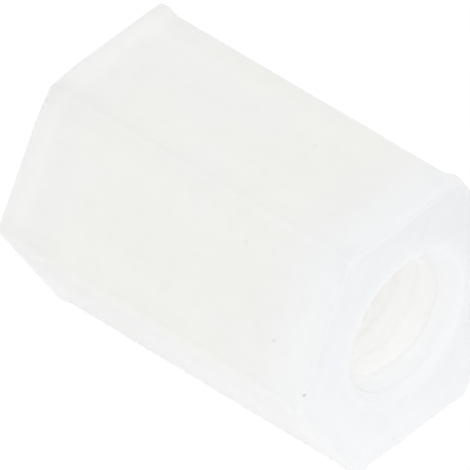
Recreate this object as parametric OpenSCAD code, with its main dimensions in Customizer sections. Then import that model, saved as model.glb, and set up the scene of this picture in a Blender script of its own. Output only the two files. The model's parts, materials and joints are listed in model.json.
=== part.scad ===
// Female-female hexagonal standoff in natural nylon, lying on one of its flats.
// The threaded bore runs along X and the resting surface is the plane Z = 0.
// Lengths are in millimetres.

/* [Body] */
// Distance across two opposite flats
across_flats = 5.5; // [5:0.1:10]
// Length from end face to end face
body_length = 8; // [5:0.5:40]
// How much is rounded off each long edge, measured inwards from the sharp corner
edge_trim = 0.02; // [0.01:0.01:0.2]

/* [End rims] */
// Height that the rim of each end stands above the flats
rim_rise = 0.04; // [0.01:0.01:0.12]
// Length of the rim's slope, measured back from the end face
rim_run = 0.4; // [0.1:0.05:1]

/* [Thread] */
// Diameter over the crests of the M3 internal thread
crest_diameter = 2.5; // [2:0.05:3]
// Diameter of the countersink where it opens on an end face
mouth_diameter = 3.4; // [3.1:0.1:4.4]
// Angle between opposite sides of the countersink's cone
mouth_angle = 90; // [60:5:120]

/* [Hidden] */

// Turn from one flat of the hexagon to the next
flat_turn = 360 / 6;
// Facets that stand for a full turn of a round surface
round_facets = 96;
// Distance that a cutting shape reaches past the face that it cuts
overshoot = 0.5;

half_length = body_length / 2;
half_flats = across_flats / 2;
// Radius of the circle through the hexagon's sharp corners
corner_radius = half_flats / cos(flat_turn / 2);
// The raised rims carry the part, so the bore lies this far above the surface
axis_height = half_flats + rim_rise;
// Depth at which a countersink has narrowed to the thread's crests
mouth_depth = (mouth_diameter - crest_diameter) / 2 / tan(mouth_angle / 2);
// How much wider the countersink's cone grows over the overshoot
mouth_flare = 2 * overshoot * tan(mouth_angle / 2);

// Cross-section of the bar: a hexagon whose flats face the directions 0, 60, 120 degrees
// and so on, with its corners brought back to a circle around the bore
module bar_section() {
    intersection() {
        rotate(flat_turn / 2) circle(r = corner_radius, $fn = 6);
        circle(r = corner_radius - edge_trim, $fn = round_facets);
    }
}

// The bar between the rims, which it enters by half of each rim's slope
module bar() {
    linear_extrude(height = body_length - rim_run, center = true)
        bar_section();
}

// Side view of one end's rim: level with the flats at its inner edge, raised at the face
module rim_profile() {
    rim_reach = half_flats + rim_rise;
    polygon([
        [-half_flats, half_length - rim_run],
        [half_flats, half_length - rim_run],
        [rim_reach, half_length],
        [-rim_reach, half_length]
    ]);
}

// A wide slab with the rim's side view, turned to the k-th pair of flats
module rim_slab(k) {
    rotate(flat_turn * k)
        rotate([90, 0, 0])
            linear_extrude(height = 2 * across_flats, center = true)
                rim_profile();
}

// One end of the bar, with its rim pushed outwards and the six corners left sharp
module end_rim() {
    intersection() {
        rim_slab(0);
        rim_slab(1);
        rim_slab(2);
    }
}

// Countersink at one end, wide at the face and narrowing to the crests
module countersink() {
    translate([0, 0, half_length - mouth_depth])
        cylinder(
            h = mouth_depth + overshoot,
            d1 = crest_diameter,
            d2 = mouth_diameter + mouth_flare,
            $fn = round_facets
        );
}

// Through bore at the thread's crests, opened out at both ends
module threaded_bore() {
    cylinder(h = body_length + 2 * overshoot, d = crest_diameter, center = true, $fn = round_facets);
    countersink();
    mirror([0, 0, 1]) countersink();
}

// The whole standoff, one piece of nylon
module standoff() {
    color([0.95, 0.95, 0.93])
        translate([0, 0, axis_height])
            rotate([0, 90, 0])
                difference() {
                    union() {
                        bar();
                        end_rim();
                        mirror([0, 0, 1]) end_rim();
                    }
                    threaded_bore();
                }
}

standoff();
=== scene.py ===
"""Looks of the natural nylon hex standoff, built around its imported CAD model.

The bore's axis runs along X and the floor is the plane Z = 0. All lengths are in metres.
Angles round the bore are measured about +X, from +Y towards +Z.
"""
import json
import math

import bmesh
import bpy
import numpy as np
from mathutils import Matrix, Vector


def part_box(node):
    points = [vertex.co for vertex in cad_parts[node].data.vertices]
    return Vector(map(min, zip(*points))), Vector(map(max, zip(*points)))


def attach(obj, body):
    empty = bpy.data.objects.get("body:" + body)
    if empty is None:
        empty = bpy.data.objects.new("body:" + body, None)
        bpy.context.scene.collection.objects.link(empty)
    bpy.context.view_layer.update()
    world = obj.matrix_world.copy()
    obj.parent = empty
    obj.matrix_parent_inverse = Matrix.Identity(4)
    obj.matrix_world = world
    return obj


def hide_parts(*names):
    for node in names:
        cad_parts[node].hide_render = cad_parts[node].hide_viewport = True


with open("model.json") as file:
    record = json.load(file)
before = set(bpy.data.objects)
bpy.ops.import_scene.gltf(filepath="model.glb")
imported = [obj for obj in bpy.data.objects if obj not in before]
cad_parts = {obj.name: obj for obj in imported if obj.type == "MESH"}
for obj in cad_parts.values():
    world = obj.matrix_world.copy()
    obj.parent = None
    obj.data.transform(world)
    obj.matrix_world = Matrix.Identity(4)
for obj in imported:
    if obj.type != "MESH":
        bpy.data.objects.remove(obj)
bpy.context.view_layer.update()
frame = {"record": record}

# ---------------------------------------------------------------- sizes from the CAD model

MM = 0.001
mounts = {mount["name"]: mount for mount in frame["record"]["mounts"]}
box_low, box_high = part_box("standoff")
HALF_LENGTH = (box_high.x - box_low.x) / 2
AXIS_HEIGHT = (box_high.z - box_low.z) / 2
RIM_RISE = mounts["resting_flat"]["pos_m"][2]
HALF_FLATS = AXIS_HEIGHT - RIM_RISE
CREST_RADIUS = mounts["thread_front"]["dims"]["r_mm"] * MM
MOUTH_DEPTH = HALF_LENGTH - mounts["thread_front"]["dims"]["length_mm"] * MM / 2
MOUTH_RADIUS = CREST_RADIUS + MOUTH_DEPTH

# ---------------------------------------------------------------- sizes that only the looks have

CORNERS = 6
SECTOR = math.radians(60)        # angle between neighbouring corners
EDGE_RADIUS = 0.15 * MM          # rounding of the long edges along the bar
EDGE_RADIUS_RIM = 0.05 * MM      # rounding of the same edges where the rims stand up
FACE_EDGE_RADIUS = 0.060 * MM    # rounding between a rim and its end face
SINK_DEPTH = 0.008 * MM          # hollow in the middle of each flat from the moulding's shrinkage
SINK_RUN = 3.0 * MM              # distance from an end over which the hollow comes in
WAVE_HEIGHT = 0.003 * MM         # slow unevenness of the whole outside
WAVE_COUNT = 10                  # cosines in it
WAVE_SEED = 11

LIP_RUN = 0.50 * MM              # how far back from the face the raised lip starts
LIP_CLIMB = 0.55                 # share of that run over which it climbs to its full height
LIP_SETTLE_RUN = 0.4             # share of it, next to the face, over which it drops again
LIP_SETTLE = 0.35                # and the share of its height that it drops
LIP_LOW = 0.42                   # the lip's height on the sides, as a share of RIM_RISE
LIP_UNEVEN = 0.1                 # size of its slow unevenness, as the same share
LIP_UNEVEN_COUNT = 9             # cosines in that
LIP_SEED_BACK = 5                # seeds of its random draws at the two ends
LIP_SEED_FRONT = 6
LIP_TOP_SWELL = 1.10             # how much higher it is at the upper corner on the +Y side
LIP_TOP_ANGLE = 60.0             # that corner's angle in degrees
LIP_TOP_SPREAD = 32.0            # degrees on either side of it
LIP_UNDER_SWELL = 0.70           # how much higher it is underneath
LIP_UNDER_ANGLE = 285.0          # in degrees, a little past straight down
LIP_UNDER_SPREAD = 30.0
LIP_UNDER_LIMIT = 0.94           # the most it may be there, so that it ends at the floor
UNDERSIDE_SINE = -0.5            # sine of the angle, below which a point is underneath

KNOCK_DEPTH = 0.085 * MM         # wear of the back end's upper corner on the -Y side
KNOCK_RUN = 0.45 * MM            # how far it reaches from the back face
KNOCK_ANGLE = 120.0              # that corner's angle in degrees
KNOCK_SPREAD = 6.5               # degrees on either side of it

PITCH = 0.5 * MM                 # M3 thread, right-handed
ROOT_RADIUS = 1.5 * MM
CREST_HALF_WIDTH = PITCH / 8     # half of the flat on each crest
FLANK_SLOPE = 1 / math.tan(math.radians(30))  # a flank's rise, for flanks 60 degrees apart
CREST_ANGLE = math.radians(-85)  # where a crest crosses the plane one pitch inside the front face
THREAD_SOFTNESS = 0.018 * MM     # rounding where crests, flanks and roots of the thread meet
CONE_SOFTNESS = 0.03 * MM        # rounding where the mouth's cone meets the thread
MOUTH_EDGE_RADIUS = 0.24 * MM    # rounding between an end face and the mouth's cone
CONE_TURN = math.radians(45)     # angle between an end face and the cone
MOUTH_EDGE_REACH = MOUTH_EDGE_RADIUS * math.tan(CONE_TURN / 2)  # the rounding starts this far out
MOUTH_EDGE_DEPTH = MOUTH_EDGE_REACH * math.sin(CONE_TURN)       # and ends this deep

# ---------------------------------------------------------------- fineness of the mesh

COLUMNS_PER_HALF_FLAT = 18
COLUMN_CROWDING = 3.0            # how much closer the columns are at the corners
LIP_STATION_RUN = 1.3 * LIP_RUN  # stretch at each end that has stations for its lip
LIP_STATIONS = 18
LIP_STATION_POWER = 1.35         # above 1, stations are closer together towards the face
MIDDLE_STATIONS = 32
STATION_CLEARANCE = 1.01 * FACE_EDGE_RADIUS  # nearer the face, the rounding's rings take over
FACE_EDGE_TURNS = (0.0, 22.5, 45.0, 67.5, 90.0)           # degrees over a rim's edge
FACE_RINGS = 14
FACE_RING_POWER = 1.2            # above 1, rings are closer together towards the rim
MOUTH_EDGE_TURNS = (6.5, 13.0, 19.5, 26.0, 32.5, 39.0)    # degrees over a mouth's edge
THREAD_ROWS_PER_PITCH = 14
MERGE_DISTANCE = 0.0001 * MM

# ---------------------------------------------------------------- helpers on plain arrays


def smooth_step(t):
    """Cubic that climbs from 0 to 1 while t goes from 0 to 1: 3t^2 - 2t^3, held outside."""
    t = np.clip(t, 0.0, 1.0)
    return t * t * (3.0 - 2.0 * t)


def soft_max(a, b, width):
    """The larger of a and b, with their crossing rounded over a distance of about width:
    half of a + b + sqrt((a - b)^2 + width^2)."""
    return 0.5 * (a + b + np.sqrt((a - b) ** 2 + width**2))


def ripple(seed, angle, along, count, longest):
    """Slow unevenness of about unit size: a sum of cosines with whole turns round the bore
    and random wavelengths, no shorter than longest / count, along it."""
    rng = np.random.default_rng(seed)
    total = np.zeros(np.broadcast(angle, along).shape)
    for k in range(1, count + 1):
        turns = rng.integers(0, k + 2)
        waves = rng.uniform(-1.0, 1.0) * k
        start = rng.uniform(0, 2 * math.pi)
        total += np.cos(turns * angle + 2 * math.pi * waves * along / longest + start) / math.sqrt(k)
    return total / math.sqrt(sum(1.0 / k for k in range(1, count + 1)))


def swell(angle, centre, spread):
    """A bell curve round the bore, 1 at centre and exp(-1) at spread from it, in degrees:
    exp(-(angle off centre / spread)^2), with the angle taken the short way round."""
    off = (np.degrees(angle) - centre + 180.0) % 360.0 - 180.0
    return np.exp(-((off / spread) ** 2))


# ---------------------------------------------------------------- shape of the standoff


def column_angles():
    """Angles of the mesh's columns: each half flat spans 30 degrees, and the columns crowd
    towards the corners as sinh(c t) / sinh(c) does towards t = 0."""
    t = np.arange(COLUMNS_PER_HALF_FLAT) / COLUMNS_PER_HALF_FLAT
    away = SECTOR / 2 * np.sinh(COLUMN_CROWDING * t) / math.sinh(COLUMN_CROWDING)
    middle = np.array([SECTOR / 2])
    sector = np.concatenate([-middle, -away[:0:-1], away])
    corners = np.arange(CORNERS)[:, None] * SECTOR
    angles = (corners + sector[None, :]).ravel()
    return np.append(angles, angles[0] + 2 * math.pi)


def hexagon_radius(angle, half_flats, edge_radius):
    """Distance from the axis to a hexagon with rounded corners, corners at 0, 60, 120 degrees.
    On a flat it is half_flats / cos(angle from the flat's middle). On a corner it is where the
    ray meets a circle of edge_radius set back so that it touches both flats:
    c cos(d) + sqrt(r^2 - c^2 sin^2(d)), with c = (half_flats - r) / cos(30 degrees)."""
    off_corner = np.abs((angle + SECTOR / 2) % SECTOR - SECTOR / 2)
    flat = half_flats / np.cos(SECTOR / 2 - off_corner)
    centre = (half_flats - edge_radius) / math.cos(SECTOR / 2)
    touch_across = edge_radius * math.sin(SECTOR / 2)
    touch_out = centre + edge_radius * math.cos(SECTOR / 2)
    under_root = np.maximum(edge_radius**2 - (centre * np.sin(off_corner)) ** 2, 0.0)
    corner = centre * np.cos(off_corner) + np.sqrt(under_root)
    return np.where(off_corner < np.arctan2(touch_across, touch_out), corner, flat)


def lip_height(from_face, angle, seed):
    """Height of the raised lip at an end face: a hump that starts at LIP_RUN from the face, is
    highest a little nearer to it than half of that, and has dropped by about a third at the
    face itself, times an uneven factor round the bore. The lip is highest at one upper corner,
    low on the sides, and stands up again below, where the bar rests on it."""
    t = np.clip(from_face / LIP_RUN, 0.0, 1.0)
    hump = smooth_step((1.0 - t) / LIP_CLIMB)
    settle = 1.0 - LIP_SETTLE * smooth_step((LIP_SETTLE_RUN - t) / LIP_SETTLE_RUN)
    uneven = LIP_LOW + LIP_UNEVEN * ripple(seed, angle, 0.0, LIP_UNEVEN_COUNT, 1.0)
    uneven = uneven + LIP_TOP_SWELL * swell(angle, LIP_TOP_ANGLE, LIP_TOP_SPREAD)
    uneven = uneven + LIP_UNDER_SWELL * swell(angle, LIP_UNDER_ANGLE, LIP_UNDER_SPREAD)
    underneath = np.sin(angle) < UNDERSIDE_SINE
    uneven = np.where(underneath, np.minimum(uneven, LIP_UNDER_LIMIT), uneven)
    return RIM_RISE * hump * settle * uneven


def knocked_corner(x, angle):
    """Depth of the worn corner at the back end: a bell curve round the bore that fades out
    smoothly over KNOCK_RUN from the face."""
    along = smooth_step(1.0 - (x + HALF_LENGTH) / KNOCK_RUN)
    return KNOCK_DEPTH * along * swell(angle, KNOCK_ANGLE, KNOCK_SPREAD)


def outer_radius(x, angle):
    """The bar's outside: the rounded hexagon, hollowed slightly by a sink that follows the
    square of a cosine across each flat, 1 in its middle and 0 at its corners, plus a slow
    ripple and the lip, less the worn corner."""
    from_face = HALF_LENGTH - np.abs(x)
    rim = smooth_step(1.0 - from_face / LIP_RUN)
    edge = EDGE_RADIUS + (EDGE_RADIUS_RIM - EDGE_RADIUS) * rim
    off_middle = angle % SECTOR - SECTOR / 2
    across = np.cos(off_middle * math.pi / SECTOR) ** 2
    sink = SINK_DEPTH * across * (1.0 - rim) * smooth_step(from_face / SINK_RUN)
    wave = WAVE_HEIGHT * ripple(WAVE_SEED, angle, x, WAVE_COUNT, 2 * HALF_LENGTH)
    front_lip = lip_height(from_face, angle, LIP_SEED_FRONT)
    back_lip = lip_height(from_face, angle, LIP_SEED_BACK)
    lip = np.where(x > 0, front_lip, back_lip)
    return hexagon_radius(angle, HALF_FLATS - sink + wave + lip, edge) - knocked_corner(x, angle)


def thread_radius(x, angle):
    """The M3 x 0.5 internal thread: the distance along the bore from the nearest crest's middle
    sets the radius, flat on the crest, then opening along 30 degree flanks, and flat again at
    the root. The flank is held between crest and root by soft maxima."""
    crest_at = HALF_LENGTH - PITCH + PITCH * (angle - CREST_ANGLE) / (2 * math.pi)
    from_crest = np.abs((x - crest_at + PITCH / 2) % PITCH - PITCH / 2)
    flank = CREST_RADIUS + (from_crest - CREST_HALF_WIDTH) * FLANK_SLOPE
    lower = soft_max(flank, CREST_RADIUS, THREAD_SOFTNESS)
    return -soft_max(-lower, -ROOT_RADIUS, THREAD_SOFTNESS)


def cone_radius(x):
    """The 90 degree cone at each end: its radius falls by as much as its depth grows."""
    return MOUTH_RADIUS - (HALF_LENGTH - np.abs(x))


def bore_radius(x, angle):
    """The bore: the thread, opened out by a cone at each end."""
    return soft_max(thread_radius(x, angle), cone_radius(x), CONE_SOFTNESS)


def outside_stations():
    """Stations along the outside from the back face to the front one: close together over the
    lips, and spread out between them."""
    near = LIP_STATION_RUN * (np.arange(1, LIP_STATIONS + 1) / LIP_STATIONS) ** LIP_STATION_POWER
    middle_start = HALF_LENGTH - near[-1]
    middle = np.linspace(-middle_start, middle_start, MIDDLE_STATIONS + 2)[1:-1]
    back = -HALF_LENGTH + near
    return np.concatenate([back, middle, -back[::-1]])


def face_rings(angle, sign):
    """Each ring's x and radius from the outside's last station in to the mouth, for the end
    face at sign * X: a quarter turn over the rim's edge, straight in across the face, and the
    first part of an eighth of a turn over the mouth's edge, which the bore's rings end."""
    rim = outer_radius(np.full_like(angle, sign * HALF_LENGTH), angle)
    made = []
    for turn in np.radians(FACE_EDGE_TURNS):
        inset = FACE_EDGE_RADIUS * (1.0 - math.cos(turn))
        depth = FACE_EDGE_RADIUS * (1.0 - math.sin(turn))
        made.append((sign * (HALF_LENGTH - depth), rim - inset))
    first = rim - FACE_EDGE_RADIUS
    last = MOUTH_RADIUS + MOUTH_EDGE_REACH
    for t in (np.arange(1, FACE_RINGS + 1) / FACE_RINGS) ** FACE_RING_POWER:
        made.append((sign * HALF_LENGTH, first + (last - first) * t))
    for turn in np.radians(MOUTH_EDGE_TURNS):
        depth = MOUTH_EDGE_RADIUS * (1.0 - math.cos(turn))
        made.append((sign * (HALF_LENGTH - depth), last - MOUTH_EDGE_RADIUS * math.sin(turn)))
    return made


def standoff_surface():
    """Points of the whole standoff as rows of rings round the bore, with the rows between which
    the bore lies. The rings run along the outside from back to front, over the front face in
    to its mouth, back through the bore and out over the back face. In the bore, each ring
    follows the thread's helix, x = s + pitch * angle / full turn, and is held at the mouths."""
    angle = column_angles()
    rings = []

    def add(x, radius):
        """Adds the ring of points at x, which turn round the axis at the radius."""
        x = np.broadcast_to(x, angle.shape)
        y = radius * np.cos(angle)
        z = radius * np.sin(angle) + AXIS_HEIGHT
        rings.append(np.stack([x, y, z], axis=1))

    for x in outside_stations():
        if HALF_LENGTH - abs(x) > STATION_CLEARANCE:
            add(x, outer_radius(np.full_like(angle, x), angle))
    for x, radius in face_rings(angle, 1):
        add(x, radius)
    bore_first = len(rings) - 1
    spacing = PITCH / THREAD_ROWS_PER_PITCH
    bore_end = HALF_LENGTH - MOUTH_EDGE_DEPTH
    count = math.ceil((2 * bore_end + PITCH) / spacing)
    for start in bore_end - spacing * np.arange(count + 1):
        x = np.clip(start + PITCH * (angle - angle[0]) / (2 * math.pi), -bore_end, bore_end)
        add(x, bore_radius(x, angle))
    bore_last = len(rings)
    for x, radius in face_rings(angle, -1)[::-1]:
        add(x, radius)
    return np.stack(rings), (bore_first, bore_last)


def closed_mesh(name, rings, bore_rows):
    """A smooth-shaded mesh from rings of points that close on themselves both ways.
    Neighbouring points of neighbouring rings make a quad, and those between the two bore rows
    take the second material. The seam and the points held at the mouths are merged."""
    rows, columns, _ = rings.shape
    index = np.arange(rows * columns).reshape(rows, columns)
    below = np.roll(index, -1, axis=0)
    quads = np.stack(
        [index[:, :-1], index[:, 1:], below[:, 1:], below[:, :-1]], axis=-1
    ).reshape(-1, 4)
    mesh = bpy.data.meshes.new(name)
    mesh.from_pydata(rings.reshape(-1, 3), [], quads, shade_flat=False)
    row = np.repeat(np.arange(rows), columns - 1)
    in_bore = (row >= bore_rows[0]) & (row < bore_rows[1])
    mesh.polygons.foreach_set("material_index", in_bore.astype(np.int32))
    work = bmesh.new()
    work.from_mesh(mesh)
    bmesh.ops.remove_doubles(work, verts=work.verts, dist=MERGE_DISTANCE)
    bmesh.ops.recalc_face_normals(work, faces=work.faces)
    work.to_mesh(mesh)
    work.free()
    return mesh


# ---------------------------------------------------------------- helpers on node trees


def new_group(name, outputs, **inputs):
    """An empty shader node group that puts out the values named. It takes in Vector and the
    other inputs named, which carry their default. Returns it with the sockets that its nodes
    read from and those that they feed."""
    group = bpy.data.node_groups.new(name, "ShaderNodeTree")
    kinds = {float: "NodeSocketFloat", tuple: "NodeSocketVector"}
    for label, default in {"Vector": (0.0, 0.0, 0.0), **inputs}.items():
        kind = kinds[type(default)]
        socket = group.interface.new_socket(label, in_out="INPUT", socket_type=kind)
        socket.default_value = default
    for label in outputs:
        group.interface.new_socket(label, in_out="OUTPUT", socket_type="NodeSocketFloat")
    entry = group.nodes.new("NodeGroupInput")
    leave = group.nodes.new("NodeGroupOutput")
    return group, entry.outputs, leave.inputs


def join(tree, start, end):
    """Links the output socket start to the input socket end."""
    tree.links.new(start, end)


def feed(tree, value, end):
    """Gives the input socket end its value, which is another socket, a number or a tuple."""
    if isinstance(value, bpy.types.NodeSocket):
        join(tree, value, end)
    else:
        end.default_value = value


def math_node(tree, operation, first, second=None, clamp=False):
    """A Math node whose inputs are sockets or numbers; returns its output."""
    node = tree.nodes.new("ShaderNodeMath")
    node.operation = operation
    node.use_clamp = clamp
    feed(tree, first, node.inputs[0])
    if second is not None:
        feed(tree, second, node.inputs[1])
    return node.outputs[0]


def vector_node(tree, operation, first, second):
    """A Vector Math node whose inputs are sockets or tuples; returns its outputs."""
    node = tree.nodes.new("ShaderNodeVectorMath")
    node.operation = operation
    feed(tree, first, node.inputs[0])
    feed(tree, second, node.inputs[1])
    return node.outputs


def split_node(tree, vector):
    """A Separate XYZ node on vector; returns its three outputs."""
    node = tree.nodes.new("ShaderNodeSeparateXYZ")
    join(tree, vector, node.inputs[0])
    return node.outputs["X"], node.outputs["Y"], node.outputs["Z"]


def noise_node(tree, vector, scale, detail):
    """A Noise Texture node on vector, less a half, so that its value is centred on zero."""
    node = tree.nodes.new("ShaderNodeTexNoise")
    node.inputs["Scale"].default_value = scale
    node.inputs["Detail"].default_value = detail
    join(tree, vector, node.inputs["Vector"])
    return math_node(tree, "SUBTRACT", node.outputs["Fac"], 0.5)


def ramp_node(tree, value, start, end, low=0.0, high=1.0):
    """A Map Range node that goes smoothly from low to high while value goes from start to end,
    and holds them outside; returns its output."""
    node = tree.nodes.new("ShaderNodeMapRange")
    node.interpolation_type = "SMOOTHSTEP"
    node.inputs["From Min"].default_value = start
    node.inputs["From Max"].default_value = end
    node.inputs["To Min"].default_value = low
    node.inputs["To Max"].default_value = high
    join(tree, value, node.inputs["Value"])
    return node.outputs["Result"]


def mix_value(tree, amount, first, second):
    """A Mix node between two values, each a socket or a number; returns the mixed value."""
    node = tree.nodes.new("ShaderNodeMix")
    join(tree, amount, node.inputs["Factor"])
    feed(tree, first, node.inputs["A"])
    feed(tree, second, node.inputs["B"])
    return node.outputs["Result"]


def mix_colour(tree, amount, first, second, blend="MIX"):
    """A Mix node between two colours, each a socket or a tuple; returns the mixed colour. With
    the blend "MULTIPLY", the first colour is darkened by the second."""
    node = tree.nodes.new("ShaderNodeMix")
    node.data_type = "RGBA"
    node.blend_type = blend
    join(tree, amount, node.inputs["Factor"])
    for label, colour in (("A", first), ("B", second)):
        opaque = (*colour, 1.0) if isinstance(colour, tuple) else colour
        feed(tree, opaque, node.inputs[label])
    return node.outputs["Result"]


def place_group(tree, group, vector, **values):
    """A copy of the node group in tree, fed with vector and with a socket or a plain value for
    each of the other inputs named; returns its outputs."""
    node = tree.nodes.new("ShaderNodeGroup")
    node.node_tree = group
    join(tree, vector, node.inputs["Vector"])
    for label, value in values.items():
        feed(tree, value, node.inputs[label])
    return node.outputs


def axis_distance(tree, side, up):
    """Math nodes for the distance from the bore's axis, the root of side^2 + up^2; returns
    their output."""
    squares = (math_node(tree, "POWER", side, 2.0), math_node(tree, "POWER", up, 2.0))
    return math_node(tree, "SQRT", math_node(tree, "ADD", *squares))


# ---------------------------------------------------------------- shared effects

BROAD_CLOUD_SCALE = 480.0           # noise scales are in lumps per metre
FINE_CLOUD_SCALE = 3000.0
DRAWN_SCALE = 14000.0
DRAWN_SQUEEZE = (0.04, 1.0, 1.0)    # makes the drawn marks long along the bar
TURNED_SCALE = 16000.0
WOBBLE_SCALE = 900.0
WOBBLE_SIZE = 0.03 * MM             # how far the turned rings stray from true circles
SPECK_EDGE_SCALE = 30000.0
SPECK_REACH = 1.1                   # a speck's reach, as a share of its size, before the noise
SPECK_CORE = 0.2                    # share of its reach over which a speck is at its darkest

FLAT_TURNS = (30, 90, 150)          # degrees to the middles of three neighbouring flats
# The long edge and rim bands below mark where painted shade darkens the edges.
LONG_EDGE_SHARE = 0.50              # strength of the wide band along each long edge
LONG_EDGE_SPREAD = math.radians(11)
LONG_LINE_SHARE = 0.30              # strength of the narrow band within it
LONG_LINE_SPREAD = math.radians(4)
RIM_SHARE = 0.70                    # the same for the rims
RIM_SPREAD = 0.50 * MM
RIM_LINE_SHARE = 0.40
RIM_LINE_SPREAD = 0.13 * MM
MOUTH_SPREAD = 0.5 * MM             # width of the ring round each mouth


def milky_clouds_group():
    """Slow cloudiness of the nylon: noise with lumps of about 2 mm and finer noise of about
    0.3 mm, each centred on zero."""
    group, entry, leave = new_group("milky_clouds", ("Broad", "Fine"))
    broad = noise_node(group, entry["Vector"], BROAD_CLOUD_SCALE, detail=1.0)
    fine = noise_node(group, entry["Vector"], FINE_CLOUD_SCALE, detail=3.0)
    join(group, broad, leave["Broad"])
    join(group, fine, leave["Fine"])
    return group


def cut_marks_group():
    """Height of the tool marks, centred on zero. On the flats they are fine lines drawn along
    the bar: noise squeezed along it. On the end faces they are turned rings: noise on the
    distance from the axis, which itself wobbles a little. Face says which, from 0 on the flats
    to 1 on the faces."""
    group, entry, leave = new_group("cut_marks", ("Height",), Face=0.0)
    _, side, height = split_node(group, entry["Vector"])
    squeezed = vector_node(group, "MULTIPLY", entry["Vector"], DRAWN_SQUEEZE)["Vector"]
    drawn = noise_node(group, squeezed, DRAWN_SCALE, detail=3.0)
    radius = axis_distance(group, side, math_node(group, "SUBTRACT", height, AXIS_HEIGHT))
    wobble = noise_node(group, entry["Vector"], WOBBLE_SCALE, detail=1.0)
    radius = math_node(group, "ADD", radius, math_node(group, "MULTIPLY", wobble, WOBBLE_SIZE))
    ring = group.nodes.new("ShaderNodeCombineXYZ")
    join(group, radius, ring.inputs["X"])
    turned = noise_node(group, ring.outputs["Vector"], TURNED_SCALE, detail=2.0)
    join(group, mix_value(group, entry["Face"], drawn, turned), leave["Height"])
    return group


def edge_bands_group():
    """Nearness to the edges, falling smoothly to 0 beside them. Long Edge folds the angle round
    the axis back and forth over half a flat, so that it is 0 on each long edge. Rim adds the
    depth behind the end face to the depth inside the hexagon, one of which is always zero on
    the surface; the hexagon's own distance is the largest of three projections. Each of the
    two is the sum of a wide band and a narrow one. Mouth is 1 at the mouth's edge and falls
    off with the distance from the axis."""
    # Long Edge and Rim carry painted shade along the edges, and Mouth carries the painted light
    # round each mouth.
    group, entry, leave = new_group("edge_bands", ("Long Edge", "Rim", "Mouth"))
    along, side, height = split_node(group, entry["Vector"])
    up = math_node(group, "SUBTRACT", height, AXIS_HEIGHT)
    turned = math_node(group, "ARCTAN2", up, side)
    folded = math_node(group, "PINGPONG", turned, SECTOR / 2)
    wide = ramp_node(group, folded, LONG_EDGE_SPREAD, 0.0, 0.0, LONG_EDGE_SHARE)
    narrow = ramp_node(group, folded, LONG_LINE_SPREAD, 0.0, 0.0, LONG_LINE_SHARE)
    join(group, math_node(group, "ADD", wide, narrow), leave["Long Edge"])
    outside = 0.0
    for turn in np.radians(FLAT_TURNS):
        across = math_node(group, "MULTIPLY", side, math.cos(turn))
        rise = math_node(group, "MULTIPLY", up, math.sin(turn))
        reach = math_node(group, "ABSOLUTE", math_node(group, "ADD", across, rise))
        outside = math_node(group, "MAXIMUM", reach, outside)
    inside = math_node(group, "SUBTRACT", HALF_FLATS, outside)
    inside = math_node(group, "MAXIMUM", inside, 0.0)
    off_middle = math_node(group, "ABSOLUTE", along)
    behind = math_node(group, "SUBTRACT", HALF_LENGTH, off_middle)
    from_rim = math_node(group, "ADD", inside, behind)
    wide = ramp_node(group, from_rim, RIM_SPREAD, 0.0, 0.0, RIM_SHARE)
    narrow = ramp_node(group, from_rim, RIM_LINE_SPREAD, 0.0, 0.0, RIM_LINE_SHARE)
    join(group, math_node(group, "ADD", wide, narrow), leave["Rim"])
    radius = axis_distance(group, side, up)
    near_mouth = ramp_node(group, radius, MOUTH_RADIUS + MOUTH_SPREAD, MOUTH_RADIUS)
    join(group, near_mouth, leave["Mouth"])
    return group


def speck_group():
    """A round speck, used for dirt and for painted shade: 1 at Centre, falling smoothly to 0 at
    about Size from it, with an edge made uneven by fine noise."""
    group, entry, leave = new_group("speck", ("Mask",), Centre=(0.0, 0.0, 0.0), Size=0.0)
    apart = vector_node(group, "DISTANCE", entry["Vector"], entry["Centre"])["Value"]
    uneven = noise_node(group, entry["Vector"], SPECK_EDGE_SCALE, detail=1.0)
    uneven = math_node(group, "ADD", uneven, SPECK_REACH)
    reach = math_node(group, "MULTIPLY", entry["Size"], uneven)
    share = math_node(group, "DIVIDE", apart, reach)
    join(group, ramp_node(group, share, 1.0, SPECK_CORE), leave["Mask"])
    return group


# ---------------------------------------------------------------- materials

NYLON_IOR = 1.53
SKIN_REACH = 0.6 * MM               # how far light spreads under the outside
BORE_REACH = 1.5 * MM               # and under the bore's wall
MARKS_DEPTH = 0.004 * MM            # of the tool marks

# Colours, and the stretches over which they set in. A stretch gives two distances from an end.
BODY_PALE = (0.900, 0.903, 0.883)   # thick middle of the bar
BODY_WARM = (0.903, 0.909, 0.868)   # the same in its more yellow patches
PATCH_CONTRAST = 2.5                # how sharply those patches are set off
BACK_COOL = (0.882, 0.885, 0.874)   # the last stretch before the back end, where light gets out
BACK_STRETCH = (2.0 * MM, 0.2 * MM)
BACK_DRIFT = 1.6                    # how much the clouds shift where that sets in
FRONT_HIGH = (0.886, 0.891, 0.901)  # the same at the front end, high up
FRONT_LOW = (0.904, 0.910, 0.916)   # and low down, paler: painted light from below
FRONT_LOW_HEIGHT = 1.2 * AXIS_HEIGHT
FRONT_STRETCH = (2.1 * MM, 0.15 * MM)
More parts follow.
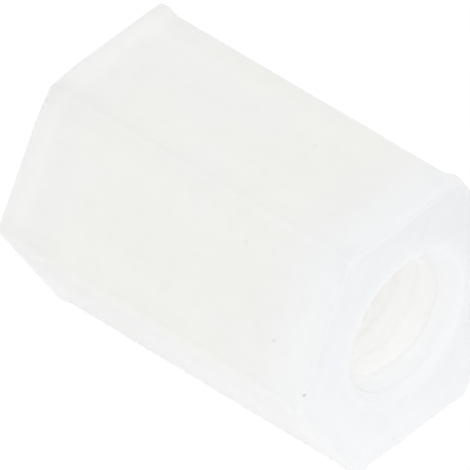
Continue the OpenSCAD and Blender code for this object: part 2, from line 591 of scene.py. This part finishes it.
# Painted light and shade underneath: paler towards the front, darker towards the back and towards
# the widest corners.
UNDER_BACK = (0.870, 0.870, 0.867)  # the undersides towards the back
UNDER_FRONT = (0.918, 0.918, 0.920)  # the undersides towards the front
UNDER_SHARE = 0.85                  # how much of these colours the undersides take
UNDER_HEIGHT = 0.8 * AXIS_HEIGHT    # below this they take all of that share
UNDER_SHADE = (0.955, 0.955, 0.955)  # painted shade: how the undersides darken towards the widest corners
UNDER_SHADE_START = 0.3 * AXIS_HEIGHT
UNDER_SHADE_END = 0.9 * AXIS_HEIGHT
FACE_HIGH = (0.849, 0.854, 0.867)   # the cut faces at their top, darker: painted shade
FACE_LOW = (0.885, 0.893, 0.908)    # the cut faces at their bottom, paler: painted light
FACE_LOW_HEIGHT = 1.0 * MM
FACE_FAR_SHADE = (0.968, 0.967, 0.962)  # painted shade: how the cut faces darken towards +Y
FACE_FAR_START = -1.0 * MM
FACE_FAR_END = 2.6 * MM
FACE_STRETCH = (0.12 * MM, 0.01 * MM)
MOUTH_PAINTED_LIGHT = (0.869, 0.875, 0.887)  # painted light: the ring round each mouth, against the shade at its edge
PAINTED_EDGE_SHADE = (0.905, 0.905, 0.905)   # painted shade: how edges and rims darken the colour, against the bright lines that light spreading under the skin makes along them
EDGE_FADE_START = -1.0 * MM         # from here on, the long edges' painted shade weakens
EDGE_FRONT_SHARE = 0.75             # down to this share of it at the front end
RIM_FACE_SHARE = 0.8                # the rims' painted shade on the faces, as a share
# Colour of the dirt, and of the painted shade along the back rim
DIRT_AND_SHADE = (0.10, 0.09, 0.08)
GREYNESS = 0.06                     # how much the fine clouds grey the outside
BORE_CONE = (0.850, 0.857, 0.872)   # the bore at its mouths, darker: painted shade where the cones catch the light
BORE_DEEP = (0.920, 0.919, 0.914)   # and past its cones, paler: painted light against the shade deep in the bore
BORE_PAINTED_GLOW = (0.055, 0.055, 0.055)   # painted light: an emission glow that stands in for light that comes through the bar's wall
NO_GLOW = (0.0, 0.0, 0.0)
BORE_STRETCH = (0.1 * MM, 0.9 * MM)

SKIN_ROUGHNESS = 0.42
FACE_ROUGHER = 0.10                 # how much rougher the cut faces are
SKIN_SMEAR = 0.25                   # how much the fine clouds vary the roughness
BORE_ROUGHNESS = 0.60
BORE_SMEAR = 0.3

# Specks of dirt, then a row of specks of painted shade along the back rim: centre and size in mm,
# and darkness
SPECKS = (
    ((4.00, -2.979, 3.076), 0.050, 0.38),
    ((2.93, -2.672, 3.655), 0.055, 0.12),
    ((1.57, -1.937, 4.928), 0.055, 0.07),
    ((1.14, 0.514, 5.535), 0.055, 0.06),
    ((4.00, -0.500, 0.274), 0.055, 0.10),
    ((3.45, -1.718, 0.276), 0.070, 0.16),
    # Painted shade: a dark line along the back rim's edge, laid as a row of specks
    ((-3.93, -1.62, 5.49), 0.060, 0.10),
    ((-3.93, -1.74, 5.27), 0.080, 0.08),
    ((-3.94, -1.82, 5.14), 0.050, 0.08),
    ((-3.95, -2.00, 4.83), 0.060, 0.10),
    ((-3.95, -2.38, 4.17), 0.060, 0.05),
)


def nylon_shader(name, reach):
    """A material with the finish that all of the nylon shares, and light spreading under its
    skin; returns it with its tree, its shader and the object coordinates."""
    material = bpy.data.materials.new(name)
    material.use_nodes = True
    tree = material.node_tree
    shader = tree.nodes["Principled BSDF"]
    place = tree.nodes.new("ShaderNodeTexCoord").outputs["Object"]
    shader.inputs["IOR"].default_value = NYLON_IOR
    shader.subsurface_method = "RANDOM_WALK"
    shader.inputs["Subsurface Weight"].default_value = 1.0
    shader.inputs["Subsurface Radius"].default_value = (1.0, 1.0, 1.0)
    shader.inputs["Subsurface Scale"].default_value = reach
    return material, tree, shader, place


def add_bump(tree, shader, height, depth):
    """Lets height, over a range of 1, stand for a relief of the depth given."""
    bump = tree.nodes.new("ShaderNodeBump")
    bump.inputs["Strength"].default_value = 1.0
    bump.inputs["Distance"].default_value = depth
    join(tree, height, bump.inputs["Height"])
    join(tree, bump.outputs["Normal"], shader.inputs["Normal"])


def near_end(tree, along, stretch):
    """Goes from 0 to 1 as along, a distance from the bar's middle, passes through the stretch,
    two distances from the end."""
    return ramp_node(tree, along, HALF_LENGTH - stretch[0], HALF_LENGTH - stretch[1])


def bar_colour(tree, along, height, cloud, bands):
    """The flats: warm with yellow patches in the thick middle, cooler towards both ends, paler low
    down at the front end as painted light, painted light and shade underneath, and painted shade
    along the long edges."""
    patches = math_node(tree, "MULTIPLY", cloud["Broad"], PATCH_CONTRAST)
    patches = math_node(tree, "ADD", patches, 0.5, clamp=True)
    colour = mix_colour(tree, patches, BODY_PALE, BODY_WARM)
    back_end = near_end(tree, math_node(tree, "MULTIPLY", along, -1.0), BACK_STRETCH)
    drift = math_node(tree, "MULTIPLY", cloud["Broad"], BACK_DRIFT)
    back_end = math_node(tree, "ADD", back_end, drift, clamp=True)
    colour = mix_colour(tree, back_end, colour, BACK_COOL)
    # Painted light: the front stretch is paler low down.
    low_down = ramp_node(tree, height, 2 * AXIS_HEIGHT, FRONT_LOW_HEIGHT)
    front = mix_colour(tree, low_down, FRONT_HIGH, FRONT_LOW)
    colour = mix_colour(tree, near_end(tree, along, FRONT_STRETCH), colour, front)
    # Painted light and shade underneath, paler towards the front and darker towards the back.
    towards_back = ramp_node(tree, along, HALF_LENGTH, -HALF_LENGTH)
    below = mix_colour(tree, towards_back, UNDER_FRONT, UNDER_BACK)
    shaded = ramp_node(tree, height, UNDER_SHADE_START, UNDER_SHADE_END)
    below = mix_colour(tree, shaded, below, UNDER_SHADE, "MULTIPLY")
    under = ramp_node(tree, height, AXIS_HEIGHT, UNDER_HEIGHT, 0.0, UNDER_SHARE)
    colour = mix_colour(tree, under, colour, below)
    # Painted shade along the long edges, weaker towards the front end.
    worn = ramp_node(tree, along, EDGE_FADE_START, HALF_LENGTH, 1.0, EDGE_FRONT_SHARE)
    worn = math_node(tree, "MULTIPLY", worn, bands["Long Edge"])
    return mix_colour(tree, worn, colour, PAINTED_EDGE_SHADE, "MULTIPLY")


def face_colour(tree, side, height, bands):
    """The cut end faces: bluer, paler towards the bottom as painted light, with a ring of painted
    light round the mouth, and all of it darker towards +Y as painted shade."""
    # Painted light and shade: paler towards the bottom.
    low_down = ramp_node(tree, height, 2 * AXIS_HEIGHT, FACE_LOW_HEIGHT)
    face = mix_colour(tree, low_down, FACE_HIGH, FACE_LOW)
    # Painted light round the mouth.
    face = mix_colour(tree, bands["Mouth"], face, MOUTH_PAINTED_LIGHT)
    # Painted shade towards +Y.
    across = ramp_node(tree, side, FACE_FAR_START, FACE_FAR_END)
    return mix_colour(tree, across, face, FACE_FAR_SHADE, "MULTIPLY")


def add_dirt_and_shade(tree, place, colour, cloud, speck):
    """The colour greyed a little where the fine clouds are thick, with the specks of dirt and of
    painted shade.
    """
    shade = math_node(tree, "MULTIPLY", cloud["Fine"], GREYNESS)
    colour = mix_colour(tree, math_node(tree, "MAXIMUM", shade, 0.0), colour, DIRT_AND_SHADE)
    dirt_and_rim_shade = 0.0
    for centre, size, darkness in SPECKS:
        where = tuple(value * MM for value in centre)
        mask = place_group(tree, speck, place, Centre=where, Size=size * MM)["Mask"]
        dirt_and_rim_shade = math_node(tree, "MAXIMUM", math_node(tree, "MULTIPLY", mask, darkness), dirt_and_rim_shade)
    return mix_colour(tree, dirt_and_rim_shade, colour, DIRT_AND_SHADE)


def nylon_skin(clouds, cut_marks, edge_bands, speck):
    """The outside: the flats and the cut faces, with painted shade on the rims, tool marks, a few
    specks of dirt and a row of specks of painted shade along the back rim."""
    material, tree, shader, place = nylon_shader("nylon_skin", SKIN_REACH)
    along, side, height = split_node(tree, place)
    on_face = near_end(tree, math_node(tree, "ABSOLUTE", along), FACE_STRETCH)
    cloud = place_group(tree, clouds, place)
    bands = place_group(tree, edge_bands, place)
    bar = bar_colour(tree, along, height, cloud, bands)
    face = face_colour(tree, side, height, bands)
    colour = mix_colour(tree, on_face, bar, face)
    # Painted shade along the rims, a little weaker on the faces.
    rim_share = ramp_node(tree, on_face, 0.0, 1.0, 1.0, RIM_FACE_SHARE)
    rim = math_node(tree, "MULTIPLY", bands["Rim"], rim_share)
    colour = mix_colour(tree, rim, colour, PAINTED_EDGE_SHADE, "MULTIPLY")
    colour = add_dirt_and_shade(tree, place, colour, cloud, speck)
    join(tree, colour, shader.inputs["Base Color"])
    smear = math_node(tree, "MULTIPLY", cloud["Fine"], SKIN_SMEAR)
    rough = math_node(tree, "MULTIPLY", on_face, FACE_ROUGHER)
    rough = math_node(tree, "ADD", rough, SKIN_ROUGHNESS)
    join(tree, math_node(tree, "ADD", rough, smear), shader.inputs["Roughness"])
    marks = place_group(tree, cut_marks, place, Face=on_face)
    add_bump(tree, shader, marks["Height"], MARKS_DEPTH)
    return material


def nylon_bore(clouds):
    """The thread and its cones, darker at the mouths as painted shade and paler past the cones as
    painted light. The walls are thin enough to let some light through; a painted glow, an emission,
    stands in for it, from none at the mouth to all of it past the cone."""
    material, tree, shader, place = nylon_shader("nylon_bore", BORE_REACH)
    along, _, _ = split_node(tree, place)
    deep = near_end(tree, math_node(tree, "ABSOLUTE", along), BORE_STRETCH)
    # Painted shade at the mouths and painted light past the cones.
    join(tree, mix_colour(tree, deep, BORE_CONE, BORE_DEEP), shader.inputs["Base Color"])
    # Painted light: an emission glow from the bore's walls.
    join(tree, mix_colour(tree, deep, NO_GLOW, BORE_PAINTED_GLOW), shader.inputs["Emission Color"])
    shader.inputs["Emission Strength"].default_value = 1.0
    cloud = place_group(tree, clouds, place)
    smear = math_node(tree, "MULTIPLY", cloud["Fine"], BORE_SMEAR)
    join(tree, math_node(tree, "ADD", smear, BORE_ROUGHNESS), shader.inputs["Roughness"])
    return material


# ---------------------------------------------------------------- floor, light and camera

SKY_LEVEL = 0.794                 # brightness of the surround as a light
SKY_LOBE = 0.50                   # how much brighter it is towards the direction below
SKY_LOBE_DIRECTION = (0.46, -0.20, 0.865)
SKY_LOBE_POWER = 3.0
FLOOR_REACH = 0.5                 # from its middle to each side
FLOOR_PAPER = (0.9, 0.9, 0.9, 1.0)
FLOOR_GLOW = 1.14                 # brightness of the floor's own glow, like a light table's
FLOOR_GLOW_SHARE = 0.6            # how much of the floor is glow; the rest is matt paper
FLOOR_GLOW_SEEN = 1.04            # the same two where the lens or a mirror ray sees the floor
FLOOR_GLOW_SHARE_SEEN = 0.88


def seen_directly(tree):
    """1 for the rays that show a thing to the lens, straight, in a mirror or through glass, and
    0 for those that only carry its light."""
    path = tree.nodes.new("ShaderNodeLightPath").outputs
    seen = math_node(tree, "MAXIMUM", path["Is Camera Ray"], path["Is Glossy Ray"])
    return math_node(tree, "MAXIMUM", seen, path["Is Transmission Ray"])


def mix_shader(tree, amount, first, second):
    """A Mix Shader node between two shader sockets; returns its output."""
    node = tree.nodes.new("ShaderNodeMixShader")
    join(tree, amount, node.inputs[0])
    join(tree, first, node.inputs[1])
    join(tree, second, node.inputs[2])
    return node.outputs[0]


def paper_floor():
    """A wide white floor. Lens and mirror rays see it nearly white by itself, so that only a
    faint shadow shows, and it can be looked through from below."""
    reach = FLOOR_REACH
    mesh = bpy.data.meshes.new("floor")
    corners = [(-reach, -reach, 0), (reach, -reach, 0), (reach, reach, 0), (-reach, reach, 0)]
    mesh.from_pydata(corners, [], [(0, 1, 2, 3)])
    floor = bpy.data.objects.new("floor", mesh)
    bpy.context.collection.objects.link(floor)
    material = bpy.data.materials.new("white_paper")
    material.use_nodes = True
    tree = material.node_tree
    tree.nodes.remove(tree.nodes["Principled BSDF"])
    matt = tree.nodes.new("ShaderNodeBsdfDiffuse")
    matt.inputs["Color"].default_value = FLOOR_PAPER
    glow = tree.nodes.new("ShaderNodeEmission")
    clear = tree.nodes.new("ShaderNodeBsdfTransparent")
    seen = seen_directly(tree)
    join(tree, mix_value(tree, seen, FLOOR_GLOW, FLOOR_GLOW_SEEN), glow.inputs["Strength"])
    share = mix_value(tree, seen, FLOOR_GLOW_SHARE, FLOOR_GLOW_SHARE_SEEN)
    above = mix_shader(tree, share, matt.outputs[0], glow.outputs[0])
    from_below = tree.nodes.new("ShaderNodeNewGeometry").outputs["Backfacing"]
    surface = mix_shader(tree, from_below, above, clear.outputs[0])
    join(tree, surface, tree.nodes["Material Output"].inputs["Surface"])
    mesh.materials.append(material)


def studio_world():
    """An even white surround, brighter high above the front end: a plain level plus a broad
    lobe, the cube of the cosine from its direction. It is pure white where the lens or a
    mirror ray sees it."""
    world = bpy.data.worlds.new("studio")
    bpy.context.scene.world = world
    world.use_nodes = True
    tree = world.node_tree
    background = tree.nodes["Background"]
    background.inputs["Color"].default_value = (1.0, 1.0, 1.0, 1.0)
    direction = tree.nodes.new("ShaderNodeTexCoord").outputs["Generated"]
    facing = vector_node(tree, "DOT_PRODUCT", direction, SKY_LOBE_DIRECTION)["Value"]
    towards = math_node(tree, "POWER", math_node(tree, "MAXIMUM", facing, 0.0), SKY_LOBE_POWER)
    lobe = math_node(tree, "MULTIPLY", towards, SKY_LOBE)
    lit = math_node(tree, "ADD", lobe, SKY_LEVEL)
    level = mix_value(tree, seen_directly(tree), lit, 1.0)
    join(tree, level, background.inputs["Strength"])


CAMERA_AZIMUTH = math.radians(43.90)
CAMERA_ELEVATION = math.radians(41.42)
CAMERA_ROLL = math.radians(-1.71)
CAMERA_DISTANCE = 0.3291
CAMERA_ASIDE = -0.433 * MM        # how far the lens is aimed to the right of the bar's middle
CAMERA_ABOVE = 0.079 * MM         # how far it is aimed above it
FOCAL_LENGTH = 1292.2             # in mm, as is the sensor's width
SENSOR_WIDTH = 36.0
CLIP_START = 0.05
CLIP_END = 10.0


def product_camera():
    """A long lens at three-quarter view: level axes from azimuth and elevation, turned by the
    roll, and moved sideways without turning so that the bar sits right of the middle."""
    back = Vector(
        (
            math.sin(CAMERA_AZIMUTH) * math.cos(CAMERA_ELEVATION),
            -math.cos(CAMERA_AZIMUTH) * math.cos(CAMERA_ELEVATION),
            math.sin(CAMERA_ELEVATION),
        )
    )
    level_right = Vector((math.cos(CAMERA_AZIMUTH), math.sin(CAMERA_AZIMUTH), 0.0))
    level_up = back.cross(level_right)
    right = level_right * math.cos(CAMERA_ROLL) + level_up * math.sin(CAMERA_ROLL)
    up = back.cross(right)
    lens = bpy.data.cameras.new("camera")
    lens.sensor_width = SENSOR_WIDTH
    lens.lens = FOCAL_LENGTH
    lens.clip_start = CLIP_START
    lens.clip_end = CLIP_END
    camera = bpy.data.objects.new("camera", lens)
    middle = Vector((0.0, 0.0, AXIS_HEIGHT))
    place = middle + back * CAMERA_DISTANCE + right * CAMERA_ASIDE + up * CAMERA_ABOVE
    turn = Matrix((right, up, back)).transposed().to_4x4()
    camera.matrix_world = Matrix.Translation(place) @ turn
    bpy.context.collection.objects.link(camera)
    bpy.context.scene.camera = camera


# ---------------------------------------------------------------- putting it together

rings, bore_rows = standoff_surface()
mesh = closed_mesh("nylon_standoff", rings, bore_rows)
standoff = bpy.data.objects.new("nylon_standoff", mesh)
bpy.context.collection.objects.link(standoff)
clouds = milky_clouds_group()
mesh.materials.append(nylon_skin(clouds, cut_marks_group(), edge_bands_group(), speck_group()))
mesh.materials.append(nylon_bore(clouds))
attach(standoff, "root")
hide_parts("standoff")

paper_floor()
studio_world()
product_camera()

LIGHT_BOUNCES = 32                # milky plastic spreads light over many bounces
scene = bpy.context.scene
scene.view_settings.view_transform = "Standard"
scene.cycles.max_bounces = LIGHT_BOUNCES
scene.cycles.diffuse_bounces = LIGHT_BOUNCES
scene.cycles.transmission_bounces = LIGHT_BOUNCES
